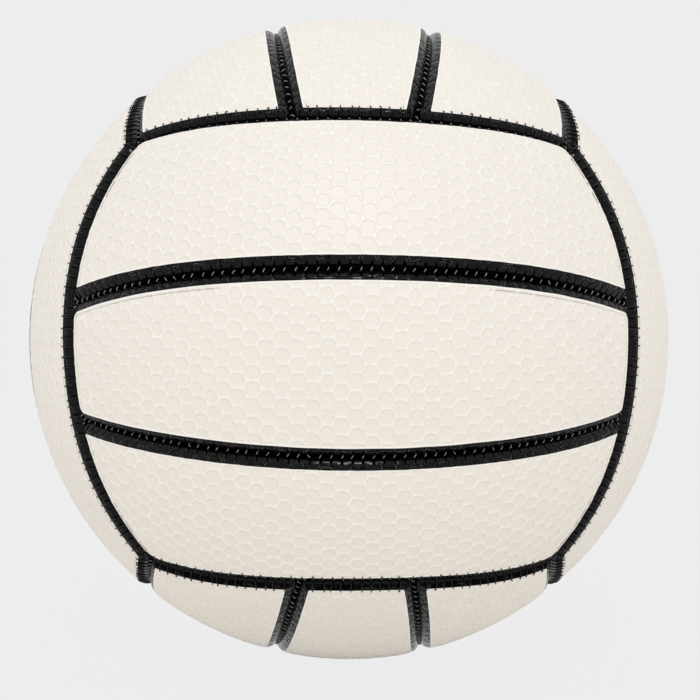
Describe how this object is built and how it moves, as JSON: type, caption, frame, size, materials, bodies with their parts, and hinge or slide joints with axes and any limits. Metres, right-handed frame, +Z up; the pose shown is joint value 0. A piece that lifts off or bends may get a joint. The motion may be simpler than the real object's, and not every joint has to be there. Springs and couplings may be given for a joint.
{
  "type": "volleyball",
  "caption": "Sewn indoor volleyball: off-white strips in a cube layout, rolled black seam edges, foam pads, bladder and recessed valve.",
  "frame": {"origin": "centre of the ball", "axes": "+Z up through the middle of the top face, whose strips run along Y; -Y out of the middle of the face that the picture shows, whose strips run along X; +Y along the valve's axis, out of the ball"},
  "size_m": [0.21, 0.2098, 0.21],
  "materials": {
    "cover_leather": "off-white embossed synthetic leather, satin, with black rolled edges at the seams",
    "foam_pad": "cloth-backed soft foam, matte",
    "seam_thread": "black waxed thread",
    "bladder_rubber": "matte black butyl rubber",
    "valve_rubber": "satin black rubber"
  },
  "bodies": {
    "root": {"cover_front_lower": "cover_leather", "cover_front_middle": "cover_leather", "cover_front_upper": "cover_leather", "cover_back_lower": "cover_leather", "cover_back_middle": "cover_leather", "cover_back_upper": "cover_leather", "cover_top_right": "cover_leather", "cover_top_middle": "cover_leather", "cover_top_left": "cover_leather", "cover_bottom_left": "cover_leather", "cover_bottom_middle": "cover_leather", "cover_bottom_right": "cover_leather", "cover_right_back": "cover_leather", "cover_right_middle": "cover_leather", "cover_right_front": "cover_leather", "cover_left_front": "cover_leather", "cover_left_middle": "cover_leather", "cover_left_back": "cover_leather", "pad_front_lower": "foam_pad", "pad_front_middle": "foam_pad", "pad_front_upper": "foam_pad", "pad_back_lower": "foam_pad", "pad_back_middle": "foam_pad", "pad_back_upper": "foam_pad", "pad_top_right": "foam_pad", "pad_top_middle": "foam_pad", "pad_top_left": "foam_pad", "pad_bottom_left": "foam_pad", "pad_bottom_middle": "foam_pad", "pad_bottom_right": "foam_pad", "pad_right_back": "foam_pad", "pad_right_middle": "foam_pad", "pad_right_front": "foam_pad", "pad_left_front": "foam_pad", "pad_left_middle": "foam_pad", "pad_left_back": "foam_pad", "seam_thread_front": "seam_thread", "seam_thread_back": "seam_thread", "seam_thread_top": "seam_thread", "seam_thread_bottom": "seam_thread", "seam_thread_right": "seam_thread", "seam_thread_left": "seam_thread", "bladder": "bladder_rubber", "valve_housing": "valve_rubber", "valve_plug": "valve_rubber"}
  },
  "joints": []
}
